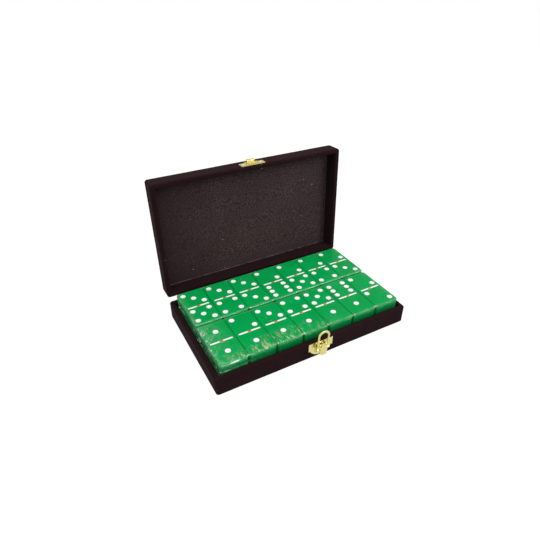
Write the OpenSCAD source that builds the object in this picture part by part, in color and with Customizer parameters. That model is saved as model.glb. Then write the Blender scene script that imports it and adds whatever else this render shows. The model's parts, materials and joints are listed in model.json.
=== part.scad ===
// Velvet-covered box for a double-six set of dominoes, lid open, dominoes packed inside.
// Millimetres. The origin is the middle of the base's underside: +X right, +Y back, +Z up.

/* [Dominoes] */
// Width of a domino
tile_w = 25.4; // [20:0.1:30]
// Length of a domino
tile_l = 50.8; // [42:0.1:60]
// Thickness of a domino
tile_t = 11.5; // [9:0.1:13]
// Radius of a domino's corners, seen from above
tile_corner_r = 2.8; // [2.6:0.1:3.4]
// Radius of a domino's rounded edges
tile_edge_r = 1; // [0.6:0.1:1]
// Gap between neighbouring dominoes in a row
tile_gap = 0.2; // [0.1:0.05:0.4]
// Diameter of a pip
pip_d = 5; // [3:0.1:5.6]
// Depth of a pip's hollow
pip_depth = 0.6; // [0.4:0.1:0.9]
// Thickness of the paint in the pips and the grooves
paint_t = 0.2; // [0.1:0.05:0.3]
// Sideways distance from the middle of a half to its outer pips
pip_dx = 7.8; // [6.2:0.1:8]
// Lengthwise distance from the middle of a half to its outer pips
pip_dy = 6.8; // [6:0.1:7.5]
// Length of the groove between the halves
divider_l = 20.5; // [12:0.5:22]
// Width of the groove between the halves
divider_w = 1.9; // [0.8:0.1:2.4]
// Depth of the groove between the halves
divider_depth = 0.4; // [0.4:0.1:0.8]
// Diameter of the spinner, the brass pin in the middle of a domino
spinner_d = 3.2; // [2:0.1:3.6]
// Length of the spinner
spinner_l = 3; // [2:0.5:5]

/* [Packs] */
// Thickness of the clear film
film_t = 0.2; // [0.15:0.05:0.4]
// Slack between the film and the dominoes
film_slack = 0.05; // [0.02:0.01:0.2]
// Thickness of the folded film seam under the back pack
seam_t = 0.8; // [0.4:0.1:1.2]
// Width of the folded seam
seam_w = 24; // [12:1:40]
// Gap between the two packs
pack_gap = 0.4; // [0.3:0.1:1.5]
// Room between the packs and each side wall
side_room = 1.35; // [0.8:0.05:5]
// Room between the packs and the front or back wall
end_room = 0.35; // [0.3:0.05:5]
// Room between the packs and the lid's lining
head_room = 4.4; // [2:0.1:8]

/* [Box] */
// Height of the base
base_h = 18; // [17:0.5:22]
// Thickness of the wall boards
wall_t = 3.2; // [2.8:0.1:5]
// Thickness of the bottom and top panels
panel_t = 1.6; // [1:0.1:2.4]
// Thickness of the velvet covering
velvet_t = 0.6; // [0.5:0.05:1]
// Width of the velvet turned in under the base
turn_in = 8; // [5:0.5:15]
// Radius of the covered corners, seen from above
corner_r = 2.5; // [1.6:0.1:4]
// Radius of the covered rims and edges
rim_r = 1.4; // [1:0.1:1.6]
// Thickness of the card that lines the floor
floor_card_t = 0.6; // [0.3:0.1:1]
// Thickness of the speckled card that lines the lid
lid_card_t = 0.8; // [0.3:0.1:1.2]
// Margin between the lid's card and the walls
card_margin = 0.4; // [0.2:0.1:3]

/* [Hinges] */
// Angle at which the lid stands open on the hinge stops
open_angle = 92.5; // [91:0.5:98]
// Distance of each hinge from the middle of the back
hinge_x = 58; // [30:1:75]
// Width of a hinge
hinge_w = 22; // [18:1:30]
// Height of a hinge leaf
leaf_h = 9.5; // [8:0.5:12]
// Thickness of the hinge leaves
leaf_t = 0.7; // [0.5:0.05:0.8]
// Outer radius of the hinge knuckles
knuckle_r = 1.6; // [1.5:0.1:1.9]
// Distance of the hinge pins behind the box
hinge_out = 2; // [2:0.1:2.6]
// Radius of the hinge pins
hinge_pin_r = 0.8; // [0.6:0.05:0.9]
// Reach of the stop tabs below the hinge pins
stop_reach = 3.6; // [3:0.1:4.5]

/* [Clasp] */
// Sideways place of the clasp from the middle of the front
clasp_x = 1; // [-5:0.5:5]
// Width of the clasp's plates
plate_w = 24.2; // [22:0.1:30]
// Thickness of the clasp's plates
plate_t = 0.6; // [0.4:0.05:0.8]
// Height of the raised field behind the lever
boss_t = 0.7; // [0.3:0.1:0.9]
// Distance of the lever's and the bail's pins in front of the box
pivot_out = 3.5; // [3.4:0.05:3.8]
// Height of the lever's pin above the table
lever_pin_z = 15; // [14.6:0.1:15.2]
// Distance of the bail's pin below the lever's pin
throw = 4.2; // [4:0.1:4.6]
// Width of the lever
lever_w = 7.1; // [6.8:0.1:7.4]
// Thickness of the lever's sheet
lever_t = 0.7; // [0.5:0.05:0.8]
// Height of the bail, from its pin to the top of its arch
bail_h = 20; // [18:0.1:20]
// Width of the bail's strip
bail_w = 2.1; // [1.6:0.1:2.4]
// Thickness of the bail's strip
bail_t = 1.1; // [0.8:0.1:1.1]
// Outward lean of the bail in its rest place, in degrees
bail_lean = 2; // [2:0.5:6]
// Gap between the lid's hook and each leg of the bail
hook_side_gap = 0.2; // [0.15:0.05:0.8]

/* [Hidden] */
$fn = 48;
// Overlap that joins touching shapes, and the length a cutting tool runs past the part
bit = 0.01;
spare = 1;

// Rows of a double-six set, left to right, each domino as [pips on its back half, on its front half]
FRONT_TOP = [[1, 1], [2, 1], [3, 1], [4, 1], [5, 1], [6, 1], [2, 2]];
FRONT_LOW = [[0, 0], [0, 1], [0, 2], [0, 3], [0, 4], [0, 5], [0, 6]];
BACK_TOP = [[3, 5], [3, 4], [3, 3], [2, 6], [2, 5], [2, 4], [2, 3]];
BACK_LOW = [[3, 6], [4, 4], [4, 5], [4, 6], [5, 5], [5, 6], [6, 6]];
COLUMNS = len(FRONT_TOP);

// Each row with its layer in the pack, 0 below and 1 above, and the pack's side, -1 front and 1 back
ROWS = [[FRONT_TOP, 1, -1], [FRONT_LOW, 0, -1], [BACK_TOP, 1, 1], [BACK_LOW, 0, 1]];

function tile_name(pips) = str("domino_", min(pips), "_", max(pips));

// Colours
velvet = [0.15, 0.10, 0.11];
card = [0.22, 0.19, 0.19];
board = [0.68, 0.56, 0.40];
brass = [0.85, 0.75, 0.45];
green = [0.00, 0.55, 0.27];
white = [0.95, 0.94, 0.92];
clear = [0.85, 0.92, 0.90, 0.35];

// Pips and their paint
pip_ball_r = (pip_d ^ 2 / 4 + pip_depth ^ 2) / (2 * pip_depth);
paint_sink = 0.04;
paint_r = sqrt(pip_ball_r ^ 2 - (pip_ball_r - pip_depth + paint_sink) ^ 2);

// Packs
tile_pitch = tile_w + tile_gap;
film = film_t + film_slack;
row_w = COLUMNS * tile_pitch - tile_gap;
pack_w = row_w + 2 * film;
pack_d = tile_l + 2 * film;
pack_h = 2 * tile_t + 2 * film;
pack_y = (pack_d + pack_gap) / 2;
seam_corner_r = 3;

// Box
wall = wall_t + 2 * velvet_t;
in_w = pack_w + 2 * side_room;
in_d = 2 * pack_d + pack_gap + 2 * end_room;
box_w = in_w + 2 * wall;
box_d = in_d + 2 * wall;
floor_z = velvet_t + panel_t + floor_card_t;
roof = velvet_t + panel_t + lid_card_t;
lid_h = floor_z + seam_t + pack_h + head_room + roof - base_h;
bay_w = in_w + 2 * velvet_t;
bay_d = in_d + 2 * velvet_t;
sheet_corner_r = 2;

// Nails
nail_r = 0.5;
nail_head_r = 1.1;
nail_head_h = 0.5;
nail_bite = 2;
nail_hole_spare = 0.2;

// Hinges
knuckles = 5;
knuckle_w = hinge_w / knuckles;
knuckle_gap = 0.15;
knuckle_room = 0.2;
leaf_gap = 0.25;
leaf_corner_r = 2;
pin_grip = 0.02;
pin_run = 0.05;
stop_gap = 0.05;
hinge_y = box_d / 2 + hinge_out;
hinge_nail_dx = 0.31 * hinge_w;
hinge_nail_dz = 0.64 * leaf_h;
HINGES = [-hinge_x, hinge_x];

// Clasp, base half
plate_drop = 1.2;
plate_top = base_h - plate_drop;
plate_end_h = 8.8;
plate_belly_r = 12;
plate_belly_drop = 2.3;
plate_belly_z = plate_top - plate_belly_drop;
scallop_r = 1;
boss_w = 11.6;
boss_h = 10.6;
boss_drop = 1;
boss_corner_r = 1.5;
ear_t = 0.75;
ear_r = 1;
barrel_r = 1.1;
side_play = 0.15;
lever_pin_r = 0.55;
bail_pin_r = 0.6;
flange_t = 0.7;
eye_r = 1.2;
rivet_r = 1;
rivet_t = 0.35;
lever_neck = lever_w - 2 * ear_t - 4 * side_play;
ear_x = lever_neck / 2 + side_play;
lever_face = pivot_out + barrel_r;
shoulder_drop = 0.8;
shoulder_z = lever_pin_z - shoulder_drop;
lever_straight = 7.2;
lever_bend_z = lever_pin_z - lever_straight;
lever_bend_r = 4.4;
lever_bend = 32;
lever_bend_out = lever_bend_r + lever_t;
lever_tip_w = 5.4;
tip_bevel = 0.7;
bail_pin_z = lever_pin_z - throw;
bail_in = lever_w / 2 + 2.3 * side_play;
bail_mid = bail_in + bail_w / 2;
bail_out = bail_in + bail_w;
strip_r = 0.35 * bail_t;

// Clasp, lid half
catch_low = 1.2;
catch_end_h = 7;
catch_corner_r = 0.5;
catch_belly_r = 11.4;
catch_rise = 1;
hook_t = 0.65;
hook_bend_r = 1.2;
hook_lip = 2.3;
hook_seat = 0.1;
hook_clear = 0.25;
hook_w = 2 * (bail_in - hook_side_gap);
latch_reach = bail_h - bail_out + sqrt(bail_in ^ 2 - (hook_w / 2) ^ 2);
hook_out = pivot_out + latch_reach * sin(bail_lean) - bail_t / 2 - hook_clear;
nook_mid = (plate_t + hook_out - hook_t) / 2;
latch_lean = asin((pivot_out - nook_mid) / latch_reach);
hook_z = bail_pin_z + latch_reach * cos(latch_lean) - hook_seat;
catch_top = hook_z + hook_lip + catch_rise;
clasp_nail_in = 2.3;
clasp_nail_x = plate_w / 2 - clasp_nail_in;
clasp_nail_z = plate_top - plate_end_h / 2;
catch_nail_in = 3.2;
catch_nail_x = plate_w / 2 - catch_nail_in;
catch_nail_z = base_h + catch_low + catch_end_h / 2;

// ---------- shared shapes ----------

// Rectangle with rounded corners, centred
module rounded_plan(w, d, r) {
    square([w - 2 * r, d], center = true);
    square([w, d - 2 * r], center = true);
    for (x = [-1, 1], y = [-1, 1])
        translate([x * (w / 2 - r), y * (d / 2 - r)]) circle(r);
}

// A plan drawn in X and Z, thickened along +Y from y
module slab_xz(t, y = 0) {
    translate([0, y + t, 0]) rotate([90, 0, 0]) linear_extrude(t) children();
}

// A side view drawn in Y and Z, thickened along X about the middle
module bar_x(w) {
    rotate([90, 0, 90]) linear_extrude(w, center = true) children();
}

// Round bar along X, centred
module rod_x(r, l) {
    rotate([0, 90, 0]) cylinder(r = r, h = l, center = true);
}

// Block on z = 0, centred in plan, its corners rounded and all its edges softened
module soft_block(w, d, h, corner, edge) {
    translate([0, 0, h / 2]) {
        bar_x(w - 2 * corner) rounded_plan(d, h, edge);
        rotate(90) bar_x(d - 2 * corner) rounded_plan(w, h, edge);
        for (x = [-1, 1], y = [-1, 1])
            translate([x * (w / 2 - corner), y * (d / 2 - corner), 0])
                rotate_extrude() soft_corner(h, corner, edge);
    }
}

// Half the side view of a disc with softened edges
module soft_corner(h, r, edge) {
    translate([0, -h / 2]) square([r - edge, h]);
    translate([0, edge - h / 2]) square([r, h - 2 * edge]);
    for (z = [-1, 1]) translate([r - edge, z * (h / 2 - edge)]) circle(edge);
}

// Places what is drawn on the closed lid where the lid stands open
module opened() {
    translate([0, hinge_y, base_h]) rotate([-open_angle, 0, 0])
        translate([0, -hinge_y, -base_h]) children();
}

// ---------- nails ----------

// Domed nail along +Z, its head's underside at z = 0
module nail(through) {
    dome_r = (nail_head_r ^ 2 + nail_head_h ^ 2) / (2 * nail_head_h);
    intersection() {
        translate([0, 0, nail_head_h - dome_r]) sphere(dome_r);
        cylinder(r = nail_head_r, h = nail_head_h);
    }
    translate([0, 0, -through - nail_bite])
        cylinder(r = nail_r, h = through + nail_bite + bit);
}

// Hole that a nail leaves in what it holds
module nail_hole(through) {
    depth = through + nail_bite + nail_hole_spare;
    translate([0, 0, -depth]) cylinder(r = nail_r, h = depth + spare);
}

// Places of the nails, heads outwards: clasp and catch on the front, hinge leaves on the back
module at_clasp_nails() {
    for (x = [-1, 1])
        translate([clasp_x + x * clasp_nail_x, -box_d / 2 - plate_t, clasp_nail_z])
            rotate([90, 0, 0]) children();
}

module at_catch_nails() {
    for (x = [-1, 1])
        translate([clasp_x + x * catch_nail_x, -box_d / 2 - plate_t, catch_nail_z])
            rotate([90, 0, 0]) children();
}

module at_leaf_nails(up) {
    for (h = HINGES, x = [-1, 1])
        translate([h + x * hinge_nail_dx, box_d / 2 + leaf_t, base_h + up * hinge_nail_dz])
            rotate([-90, 0, 0]) children();
}

module base_nail_holes() {
    at_clasp_nails() nail_hole(plate_t + velvet_t);
    at_leaf_nails(-1) nail_hole(leaf_t + velvet_t);
}

module lid_nail_holes() {
    at_catch_nails() nail_hole(plate_t + velvet_t);
    at_leaf_nails(1) nail_hole(leaf_t + velvet_t);
}

module base_nails() {
    color(brass) {
        at_clasp_nails() nail(plate_t + velvet_t);
        at_leaf_nails(-1) nail(leaf_t + velvet_t);
    }
}

module lid_nails() {
    color(brass) opened() {
        at_catch_nails() nail(plate_t + velvet_t);
        at_leaf_nails(1) nail(leaf_t + velvet_t);
    }
}

// ---------- base and lid: two shallow trays, drawn open upwards from z = 0 ----------

// The four wall boards, seen from above
module board_ring() {
    difference() {
        rounded_plan(box_w - 2 * velvet_t, box_d - 2 * velvet_t, corner_r - velvet_t);
        square([bay_w, bay_d], center = true);
    }
}

// One mitred board of a tray, turned a quarter turn for each side: 0 front, 1 right, 2 back, 3 left
module wall_board(h, side) {
    across = side % 2 == 0 ? box_w : box_d;
    out = side % 2 == 0 ? box_d / 2 : box_w / 2;
    translate([0, 0, velvet_t]) linear_extrude(h - 2 * velvet_t) intersection() {
        board_ring();
        rotate(90 * side) polygon([
            [-across / 2, -out], [across / 2, -out],
            [across / 2 - wall, -out + wall], [-across / 2 + wall, -out + wall]]);
    }
}

// Cross-section of a covered wall, from its outer face at y = 0 inwards
module wall_section(h) {
    square([wall, h - rim_r]);
    translate([rim_r, 0]) square([wall - 2 * rim_r, h]);
    for (y = [rim_r, wall - rim_r]) translate([y, h - rim_r]) circle(rim_r);
}

module covered_walls(h) {
    for (side = [0, 1, 2, 3]) {
        across = side % 2 == 0 ? box_w : box_d;
        out = side % 2 == 0 ? box_d / 2 : box_w / 2;
        rotate(90 * side) translate([0, -out, 0]) bar_x(across) wall_section(h);
    }
}

// Velvet over the outside, the rim and the inside of the walls; over_end covers the whole flat side
module covering(h, over_end) {
    difference() {
        intersection() {
            tray_block(h);
            union() {
                covered_walls(h);
                linear_extrude(velvet_t) square([box_w, box_d], center = true);
            }
        }
        translate([0, 0, velvet_t]) linear_extrude(h - 2 * velvet_t) board_ring();
        translate([0, 0, velvet_t]) linear_extrude(panel_t) square([bay_w, bay_d], center = true);
        if (!over_end) translate([0, 0, -bit]) linear_extrude(velvet_t + 2 * bit) underside_plan();
    }
}

// Outer form of a covered tray
module tray_block(h) {
    intersection() {
        linear_extrude(h) rounded_plan(box_w, box_d, corner_r);
        translate([0, box_d / 2, h / 2]) rotate([90, 0, 0])
            linear_extrude(box_d) rounded_plan(box_w, h, rim_r);
        translate([0, 0, h / 2]) bar_x(box_w) rounded_plan(box_d, h, rim_r);
    }
}

module panel() {
    translate([0, 0, velvet_t]) linear_extrude(panel_t) square([bay_w, bay_d], center = true);
}

module underside_plan() {
    rounded_plan(box_w - 2 * turn_in, box_d - 2 * turn_in, sheet_corner_r);
}

// The lid is a tray turned over on the base
module as_lid() {
    opened() translate([0, 0, base_h + lid_h]) mirror([0, 0, 1]) children();
}

module base_board(side) {
    color(board) difference() {
        wall_board(base_h, side);
        base_nail_holes();
    }
}

module lid_board(side) {
    color(board) difference() {
        as_lid() wall_board(lid_h, side);
        opened() lid_nail_holes();
    }
}

module base_bottom_panel() {
    color(board) panel();
}

module base_underside_sheet() {
    color(velvet) linear_extrude(velvet_t) underside_plan();
}

module base_covering() {
    color(velvet) difference() {
        covering(base_h, false);
        base_nail_holes();
    }
}

module base_floor_card() {
    color(card) translate([0, 0, velvet_t + panel_t]) linear_extrude(floor_card_t)
        square([in_w, in_d], center = true);
}

module lid_top_panel() {
    color(board) as_lid() panel();
}

module lid_covering() {
    color(velvet) difference() {
        as_lid() covering(lid_h, true);
        opened() lid_nail_holes();
    }
}

module lid_card() {
    color(card) as_lid() translate([0, 0, velvet_t + panel_t]) linear_extrude(lid_card_t)
        square([in_w - 2 * card_margin, in_d - 2 * card_margin], center = true);
}

// ---------- hinges ----------

// Middle of knuckle i, from 0 on the left
function knuckle_x(i) = (i - (knuckles - 1) / 2) * knuckle_w;

BASE_KNUCKLES = [0, 2, 4];
LID_KNUCKLES = [1, 3];

module at_hinges() {
    for (x = HINGES) translate([x, box_d / 2, base_h]) children();
}

// Leaf drawn upwards from the pin, its flat side on y = 0; children are joined on before it is bored
module leaf(own, other, bore_r) {
    difference() {
        union() {
            slab_xz(leaf_t) {
                translate([-hinge_w / 2, leaf_gap])
                    square([hinge_w, leaf_h - leaf_corner_r - leaf_gap]);
                translate([-hinge_w / 2 + leaf_corner_r, leaf_gap])
                    square([hinge_w - 2 * leaf_corner_r, leaf_h - leaf_gap]);
                for (x = [-1, 1])
                    translate([x * (hinge_w / 2 - leaf_corner_r), leaf_h - leaf_corner_r])
                        circle(leaf_corner_r);
            }
            for (i = own) translate([knuckle_x(i), hinge_out, 0]) {
                rod_x(knuckle_r, knuckle_w - knuckle_gap);
                translate([-(knuckle_w - knuckle_gap) / 2, -hinge_out, 0])
                    cube([knuckle_w - knuckle_gap, hinge_out, knuckle_r]);
            }
            children();
        }
        for (i = other) translate([knuckle_x(i), hinge_out, 0])
            rod_x(knuckle_r + knuckle_room, knuckle_w + knuckle_gap);
        translate([0, hinge_out, 0]) rod_x(bore_r, hinge_w + spare);
    }
}

// Tab on a lid knuckle that lies against the base leaf when the lid stands open
module stop_tab() {
    translate([-(knuckle_w - knuckle_gap) / 2, hinge_out, 0]) rotate([open_angle, 0, 0])
        translate([0, leaf_t + stop_gap - hinge_out, -stop_reach])
            cube([knuckle_w - knuckle_gap, leaf_t, stop_reach - hinge_pin_r / 2]);
}

module hinge_base_leaves() {
    color(brass) difference() {
        at_hinges() mirror([0, 0, 1]) leaf(BASE_KNUCKLES, LID_KNUCKLES, hinge_pin_r + pin_grip);
        at_leaf_nails(-1) nail_hole(leaf_t);
    }
}

module hinge_lid_leaves() {
    color(brass) opened() difference() {
        at_hinges() leaf(LID_KNUCKLES, BASE_KNUCKLES, hinge_pin_r + pin_run)
            for (i = LID_KNUCKLES) translate([knuckle_x(i), 0, 0]) stop_tab();
        at_leaf_nails(1) nail_hole(leaf_t);
    }
}

module hinge_pins() {
    color(brass) at_hinges() translate([0, hinge_out, 0]) rod_x(hinge_pin_r, hinge_w);
}

// ---------- clasp ----------

// Local frame of the clasp: +Y points out of the box's front
module at_clasp() {
    translate([clasp_x, -box_d / 2, 0]) mirror([0, 1, 0]) children();
}

module plate_outline() {
    translate([-plate_w / 2, plate_top - plate_end_h]) square([plate_w, plate_end_h]);
    intersection() {
        translate([0, plate_belly_z]) circle(plate_belly_r);
        translate([-plate_w / 2, 0]) square([plate_w, plate_top - bit]);
    }
}

// Stamped plate with a raised field and the two ears that carry the lever
module clasp_plate() {
    color(brass) difference() {
        at_clasp() difference() {
            union() {
                slab_xz(plate_t) difference() {
                    plate_outline();
                    for (x = [-1, 1])
                        translate([x * (plate_w / 2 - scallop_r), plate_top - plate_end_h])
                            circle(scallop_r);
                }
                slab_xz(boss_t + plate_t) translate([0, plate_top - boss_drop - boss_h / 2])
                    rounded_plan(boss_w, boss_h, boss_corner_r);
                for (x = [-1, 1]) translate([x * (ear_x + ear_t / 2), 0, 0]) bar_x(ear_t) ear();
            }
            translate([0, pivot_out, lever_pin_z]) rod_x(lever_pin_r + pin_grip, lever_w);
        }
        at_clasp_nails() nail_hole(plate_t);
    }
}

module ear() {
    translate([pivot_out, lever_pin_z]) circle(ear_r);
    translate([plate_t / 2, lever_pin_z - ear_r]) square([pivot_out - plate_t / 2, 2 * ear_r]);
}

module clasp_lever_pin() {
    color(brass) at_clasp() translate([0, pivot_out, lever_pin_z])
        rod_x(lever_pin_r, 2 * (ear_x + ear_t));
}

// Side view of the lever's sheet: rolled round its pin, straight, then bent out to a finger tip
module lever_side() {
    translate([lever_face, lever_bend_z])
        square([lever_t, lever_pin_z + barrel_r - lever_bend_z]);
    translate([lever_face + lever_t + lever_bend_r, lever_bend_z]) intersection() {
        difference() {
            circle(lever_bend_r + lever_t);
            circle(lever_bend_r);
        }
        rotate(180) polygon([[0, 0], [2 * lever_bend_out, 0],
                             [2 * lever_bend_out, 2 * lever_bend_out * tan(lever_bend)]]);
    }
}

// Front view of the lever: a neck between the ears, shoulders, and a narrower tip
module lever_front() {
    tip_z = lever_bend_z - lever_bend_out * sin(lever_bend) - bit;
    taper_z = lever_bend_z + tip_bevel;
    translate([-lever_neck / 2, shoulder_z - bit])
        square([lever_neck, lever_pin_z + 2 * barrel_r - shoulder_z]);
    polygon([[-lever_w / 2, shoulder_z], [-lever_w / 2, taper_z],
             [-lever_tip_w / 2, tip_z + tip_bevel], [-lever_tip_w / 2 + tip_bevel, tip_z],
             [lever_tip_w / 2 - tip_bevel, tip_z], [lever_tip_w / 2, tip_z + tip_bevel],
             [lever_w / 2, taper_z], [lever_w / 2, shoulder_z]]);
}

module clasp_lever() {
    color(brass) at_clasp() difference() {
        union() {
            intersection() {
                bar_x(lever_w) lever_side();
                slab_xz(3 * lever_face) lever_front();
            }
            bar_x(lever_neck) translate([pivot_out, lever_pin_z]) {
                circle(barrel_r);
                square([barrel_r + bit, barrel_r]);
            }
            for (x = [-1, 1]) translate([x * (lever_w - flange_t) / 2, 0, 0]) bar_x(flange_t) {
                translate([pivot_out, bail_pin_z]) circle(eye_r);
                translate([pivot_out, bail_pin_z - eye_r]) square([barrel_r + bit, 2 * eye_r]);
            }
        }
        translate([0, pivot_out, lever_pin_z]) rod_x(lever_pin_r + pin_run, lever_w);
        translate([0, pivot_out, bail_pin_z]) rod_x(bail_pin_r + pin_run, lever_w + spare);
    }
}

module clasp_bail_pin() {
    color(brass) at_clasp() translate([0, pivot_out, bail_pin_z]) {
        rod_x(bail_pin_r, 2 * (bail_out + pin_run) + bit);
        for (x = [-1, 1]) translate([x * (bail_out + pin_run + rivet_t / 2), 0, 0])
            rod_x(rivet_r, rivet_t);
    }
}

// Loop of flat strip: two legs with eyes and a round arch
module clasp_bail() {
    arch_z = bail_h - bail_out;
    color(brass) at_clasp() translate([0, pivot_out, bail_pin_z]) rotate([-bail_lean, 0, 0])
        difference() {
            union() {
                for (x = [-1, 1]) translate([x * bail_mid, 0, 0]) {
                    linear_extrude(arch_z) rounded_plan(bail_w, bail_t, strip_r);
                    rod_x(eye_r, bail_w);
                }
                translate([0, 0, arch_z]) rotate([90, 0, 0]) rotate_extrude(angle = 180)
                    translate([bail_mid, 0]) rounded_plan(bail_w, bail_t, strip_r);
            }
            rod_x(bail_pin_r + pin_run, 2 * bail_out + spare);
        }
}

module catch_outline() {
    low = base_h + catch_low;
    translate([0, low + catch_end_h / 2]) rounded_plan(plate_w, catch_end_h, catch_corner_r);
    intersection() {
        translate([0, catch_top - catch_belly_r]) circle(catch_belly_r);
        translate([-plate_w / 2, low + bit]) square([plate_w, catch_top]);
    }
}

// Side view of the hook: a shelf and an upturned lip, both r mm inside its outline
module hook_side(r) {
    bend = hook_bend_r - r;
    low = hook_z - hook_t + r;
    out = hook_out - r;
    translate([0, low + bend]) square([out, hook_z + hook_lip - low - bend]);
    translate([0, low]) square([out - bend, bend + bit]);
    translate([out - bend, low + bend]) circle(bend);
}

module catch_plate() {
    color(brass) opened() difference() {
        at_clasp() {
            slab_xz(plate_t) catch_outline();
            bar_x(hook_w) difference() {
                hook_side(0);
                difference() {
                    translate([0, hook_t]) hook_side(hook_t);
                    square([plate_t, 2 * catch_top]);
                }
                hook_slot();
            }
        }
        at_catch_nails() nail_hole(plate_t);
    }
}

// Opens the hook upwards, above the shelf
module hook_slot() {
    translate([plate_t, hook_z + hook_bend_r])
        square([hook_out - hook_t - plate_t, hook_lip + spare]);
}

// ---------- dominoes ----------

// Pip places on one half, in steps of [pip_dx, pip_dy] from its middle
function pips_of(n) = concat(
    n % 2 == 1 ? [[0, 0]] : [],
    n >= 2 ? [[-1, 1], [1, -1]] : [],
    n >= 4 ? [[1, 1], [-1, -1]] : [],
    n == 6 ? [[-1, 0], [1, 0]] : []);

module pip() {
    translate([0, 0, tile_t + pip_ball_r - pip_depth]) sphere(pip_ball_r, $fn = 96);
}

// Places of a domino's pips, its first number on the back half
module at_pips(pips) {
    for (half = [0, 1], p = pips_of(pips[half]))
        translate([p[0] * pip_dx, (0.5 - half) * tile_l / 2 + p[1] * pip_dy, 0]) children();
}

module divider() {
    translate([0, 0, tile_t - divider_depth]) linear_extrude(divider_depth + spare)
        rounded_plan(divider_l, divider_w, divider_w / 2 - bit);
}

// A domino lying face up, centred in plan on z = 0
module domino(pips) {
    color(green) difference() {
        soft_block(tile_w, tile_l, tile_t, tile_corner_r, tile_edge_r);
        at_pips(pips) pip();
        divider();
        translate([0, 0, tile_t - spinner_l]) cylinder(d = spinner_d, h = spinner_l + spare);
    }
}

// Depth of a pip's hollow at a distance from its middle
function pip_sag(x) = pip_depth - pip_ball_r + sqrt(pip_ball_r ^ 2 - x ^ 2);

// Paint lying in a pip's hollow, dished like it
module pip_paint() {
    translate([0, 0, tile_t]) rotate_extrude() polygon([
        [0, -pip_depth], [paint_r / 2, -pip_sag(paint_r / 2)], [paint_r, -paint_sink],
        [paint_r / 2, paint_t - pip_sag(paint_r / 2)], [0, paint_t - pip_depth]]);
}

// Paint of a whole domino: its pips, and its groove on both sides of the spinner
module domino_paint(pips) {
    at_pips(pips) pip_paint();
    translate([0, 0, tile_t - divider_depth]) difference() {
        linear_extrude(paint_t) rounded_plan(divider_l, divider_w, divider_w / 2 - bit);
        cylinder(d = spinner_d, h = paint_t + spare);
    }
}

// Brass pin with a low dome that stays just under the domino's face
module spinner() {
    rise = divider_depth / 2;
    dome_r = (spinner_d ^ 2 / 4 + rise ^ 2) / (2 * rise);
    translate([0, 0, tile_t - spinner_l]) intersection() {
        cylinder(d = spinner_d, h = spinner_l);
        translate([0, 0, spinner_l - dome_r]) sphere(dome_r, $fn = 96);
    }
}

// Places of a pack's dominoes: column i, layer 0 or 1, from the middle of the pack's underside
module at_tile(i, layer) {
    translate([(i - (COLUMNS - 1) / 2) * tile_pitch, 0, film + layer * tile_t]) children();
}

// Where a pack stands: on the floor at the front (side -1), on its folded seam at the back (side 1)
module at_pack(side) {
    translate([0, side * pack_y, floor_z + (side > 0 ? seam_t : 0)]) children();
}

module spinners() {
    color(brass) for (i = [0 : COLUMNS - 1], layer = [0, 1]) at_tile(i, layer) spinner();
}

// Paint of all the dominoes of the pack on one side
module pack_paint(side) {
    color(white) at_pack(side) for (row = ROWS, i = [0 : COLUMNS - 1])
        if (row[2] == side) at_tile(i, row[1]) domino_paint(row[0][i]);
}

module film_shell() {
    difference() {
        soft_block(pack_w, pack_d, pack_h, tile_corner_r + film, tile_edge_r + film);
        translate([0, 0, film_t])
            soft_block(pack_w - 2 * film_t, pack_d - 2 * film_t, pack_h - 2 * film_t,
                       tile_corner_r + film_slack, tile_edge_r + film_slack);
    }
}

module front_pack_film() {
    color(clear) at_pack(-1) film_shell();
}

module back_pack_film() {
    color(clear) at_pack(1) {
        film_shell();
        translate([0, 0, -seam_t]) linear_extrude(seam_t + film_t / 2)
            rounded_plan(pack_w - 2 * seam_w, seam_w, seam_corner_r);
    }
}

module front_pack_paint() {
    pack_paint(-1);
}

module back_pack_paint() {
    pack_paint(1);
}

module front_pack_spinners() {
    at_pack(-1) spinners();
}

module back_pack_spinners() {
    at_pack(1) spinners();
}

// ---------- nodes ----------

base_board(0);  // base_front_board
base_board(1);  // base_right_board
base_board(2);  // base_back_board
base_board(3);  // base_left_board
base_bottom_panel();
base_underside_sheet();
base_covering();
base_floor_card();
lid_board(0);  // lid_front_board
lid_board(1);  // lid_right_board
lid_board(2);  // lid_back_board
lid_board(3);  // lid_left_board
lid_top_panel();
lid_covering();
lid_card();
hinge_base_leaves();
hinge_lid_leaves();
hinge_pins();
base_nails();
lid_nails();
clasp_plate();
clasp_lever_pin();
clasp_lever();
clasp_bail_pin();
clasp_bail();
catch_plate();
front_pack_film();
front_pack_spinners();
back_pack_film();
back_pack_spinners();
front_pack_paint();
back_pack_paint();
for (row = ROWS, i = [0 : COLUMNS - 1])
    at_pack(row[2]) at_tile(i, row[1]) domino(row[0][i]);
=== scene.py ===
"""Dresses the domino box: cloth, card, film, brass and dominoes over the packed model, and the stage."""

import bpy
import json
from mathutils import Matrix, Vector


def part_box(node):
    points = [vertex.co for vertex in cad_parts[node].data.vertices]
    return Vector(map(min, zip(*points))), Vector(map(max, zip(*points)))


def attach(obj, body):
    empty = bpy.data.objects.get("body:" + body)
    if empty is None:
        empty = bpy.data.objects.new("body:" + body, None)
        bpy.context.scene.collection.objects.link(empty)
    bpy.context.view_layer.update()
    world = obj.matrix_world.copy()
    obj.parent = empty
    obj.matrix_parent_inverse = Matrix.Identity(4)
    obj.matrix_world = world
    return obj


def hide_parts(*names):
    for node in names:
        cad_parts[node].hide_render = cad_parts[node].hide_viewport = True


bl_info = {
    "name": "Domino Box Dressing",
    "version": (1, 0, 0),
    "blender": (4, 5, 0),
    "location": "View3D > Sidebar > Domino Box",
    "description": "Covers, lines, wraps and finishes a velvet box of dominoes, one operator for each kind of piece",
    "category": "Object",
}

import json
import math
from itertools import product

import bmesh
import bpy
from bpy.props import FloatProperty, FloatVectorProperty, PointerProperty
from mathutils import Matrix, Vector, noise

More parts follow.
